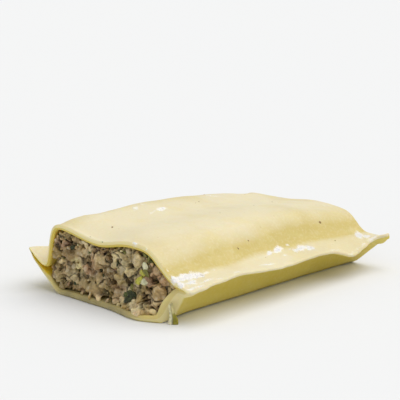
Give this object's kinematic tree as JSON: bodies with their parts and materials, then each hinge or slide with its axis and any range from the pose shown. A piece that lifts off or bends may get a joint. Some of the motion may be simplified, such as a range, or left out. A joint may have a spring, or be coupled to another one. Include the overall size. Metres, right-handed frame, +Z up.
{
  "type": "filled pasta tube",
  "caption": "Cannelloni of fresh egg pasta: two sheets pressed together along wavy side seams around a minced meat filling that shows at both cut ends.",
  "frame": {"origin": "under the middle of the bounding box, on the surface that the pasta rests on", "axes": "+X along the tube from the cut end with the longer lower lip to the other cut end, +Y to the seam whose corner stands up, +Z up"},
  "size_m": [0.107, 0.0778, 0.0248],
  "materials": {
    "pasta_lower": "matte",
    "pasta_upper": "matte",
    "meat_filling": "moist, uneven",
    "vegetable": "moist",
    "flour": "powdery",
    "bran": "matte"
  },
  "bodies": {
    "root": {"pasta_bottom": "pasta_lower", "pasta_top": "pasta_upper", "filling": "meat_filling", "leek_strip": "vegetable"}
  },
  "joints": []
}
